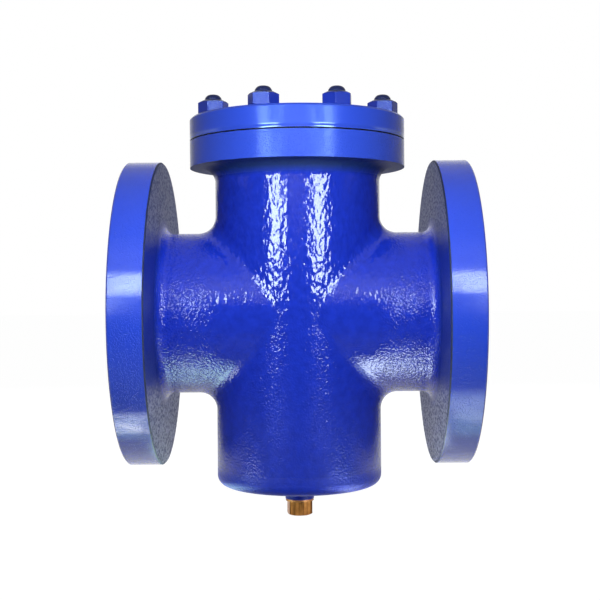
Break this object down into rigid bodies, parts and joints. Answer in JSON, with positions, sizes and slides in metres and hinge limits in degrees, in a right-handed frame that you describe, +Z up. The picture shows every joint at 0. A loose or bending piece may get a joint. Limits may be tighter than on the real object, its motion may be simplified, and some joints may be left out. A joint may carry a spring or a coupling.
{
  "type": "flanged basket strainer",
  "caption": "Cross-shaped flanged pot strainer: bolted blank cover, slanted perforated basket on an inclined diaphragm, and a bottom drain plug.",
  "frame": {"origin": "centre of the inlet flange's face, on the pipe axis", "axes": "+X along the pipe axis from inlet to outlet, +Z up the pot's axis towards the cover, +Y to the left when looking along the flow"},
  "size_m": [0.2432, 0.22, 0.3031],
  "materials": {
    "body_paint": "gloss blue enamel over rough cast iron",
    "cover_paint": "gloss blue enamel over machined cast iron",
    "nut_paint": "blue enamel over steel",
    "stud_paint": "dark blue enamel over steel thread",
    "gasket": "matt rubber-bound sheet",
    "basket_steel": "stainless sheet",
    "plug_brass": "machined brass, a little tarnished",
    "washer_copper": "soft copper sealing ring"
  },
  "bodies": {
    "strainer_body": {"body_casting": "body_paint", "cover_gasket": "gasket", "cover_stud_1": "stud_paint", "cover_stud_2": "stud_paint", "cover_stud_3": "stud_paint", "cover_stud_4": "stud_paint", "cover_stud_5": "stud_paint", "cover_stud_6": "stud_paint", "cover_stud_7": "stud_paint", "cover_stud_8": "stud_paint"},
    "cover": {"blank_cover": "cover_paint"},
    "basket": {"basket_shell": "basket_steel", "basket_floor": "basket_steel", "basket_rim": "basket_steel", "basket_handle": "basket_steel"},
    "drain_seal": {"drain_washer": "washer_copper"},
    "drain_screw": {"drain_plug": "plug_brass"},
    "nut_1": {"cover_nut_1": "nut_paint"},
    "nut_2": {"cover_nut_2": "nut_paint"},
    "nut_3": {"cover_nut_3": "nut_paint"},
    "nut_4": {"cover_nut_4": "nut_paint"},
    "nut_5": {"cover_nut_5": "nut_paint"},
    "nut_6": {"cover_nut_6": "nut_paint"},
    "nut_7": {"cover_nut_7": "nut_paint"},
    "nut_8": {"cover_nut_8": "nut_paint"}
  },
  "joints": [
    {"name": "cover_lift", "type": "slide", "parent": "strainer_body", "child": "cover", "axis": [0, 0, 1], "range_m": [0, 0.45]},
    {"name": "basket_lift", "type": "slide", "parent": "strainer_body", "child": "basket", "axis": [0, 0, 1], "range_m": [0, 0.27]},
    {"name": "drain_seal_drop", "type": "slide", "parent": "strainer_body", "child": "drain_seal", "axis": [0, 0, -1], "range_m": [0, 0.01604]},
    {"name": "drain_plug_turn", "type": "hinge", "parent": "drain_seal", "child": "drain_screw", "pos_m": [0.1216, 0, -0.138], "axis": [0, 0, -1], "range_deg": [0, 4320]},
    {"name": "nut_1_turn", "type": "hinge", "parent": "cover", "child": "nut_1", "pos_m": [0.14928, -0.05881, 0.1409], "axis": [0, 0, 1], "continuous": true},
    {"name": "nut_2_turn", "type": "hinge", "parent": "cover", "child": "nut_2", "pos_m": [0.18276, -0.02202, 0.1409], "axis": [0, 0, 1], "continuous": true},
    {"name": "nut_3_turn", "type": "hinge", "parent": "cover", "child": "nut_3", "pos_m": [0.18041, 0.02768, 0.1409], "axis": [0, 0, 1], "continuous": true},
    {"name": "nut_4_turn", "type": "hinge", "parent": "cover", "child": "nut_4", "pos_m": [0.14362, 0.06116, 0.1409], "axis": [0, 0, 1], "continuous": true},
    {"name": "nut_5_turn", "type": "hinge", "parent": "cover", "child": "nut_5", "pos_m": [0.09392, 0.05881, 0.1409], "axis": [0, 0, 1], "continuous": true},
    {"name": "nut_6_turn", "type": "hinge", "parent": "cover", "child": "nut_6", "pos_m": [0.06044, 0.02202, 0.1409], "axis": [0, 0, 1], "continuous": true},
    {"name": "nut_7_turn", "type": "hinge", "parent": "cover", "child": "nut_7", "pos_m": [0.06279, -0.02768, 0.1409], "axis": [0, 0, 1], "continuous": true},
    {"name": "nut_8_turn", "type": "hinge", "parent": "cover", "child": "nut_8", "pos_m": [0.09958, -0.06116, 0.1409], "axis": [0, 0, 1], "continuous": true}
  ],
  "couplings": [
    {"joint": "basket_lift", "follows": "cover_lift", "ratio": 0.6},
    {"joint": "drain_plug_turn", "follows": "drain_seal_drop", "rad_per_m": 4700}
  ]
}
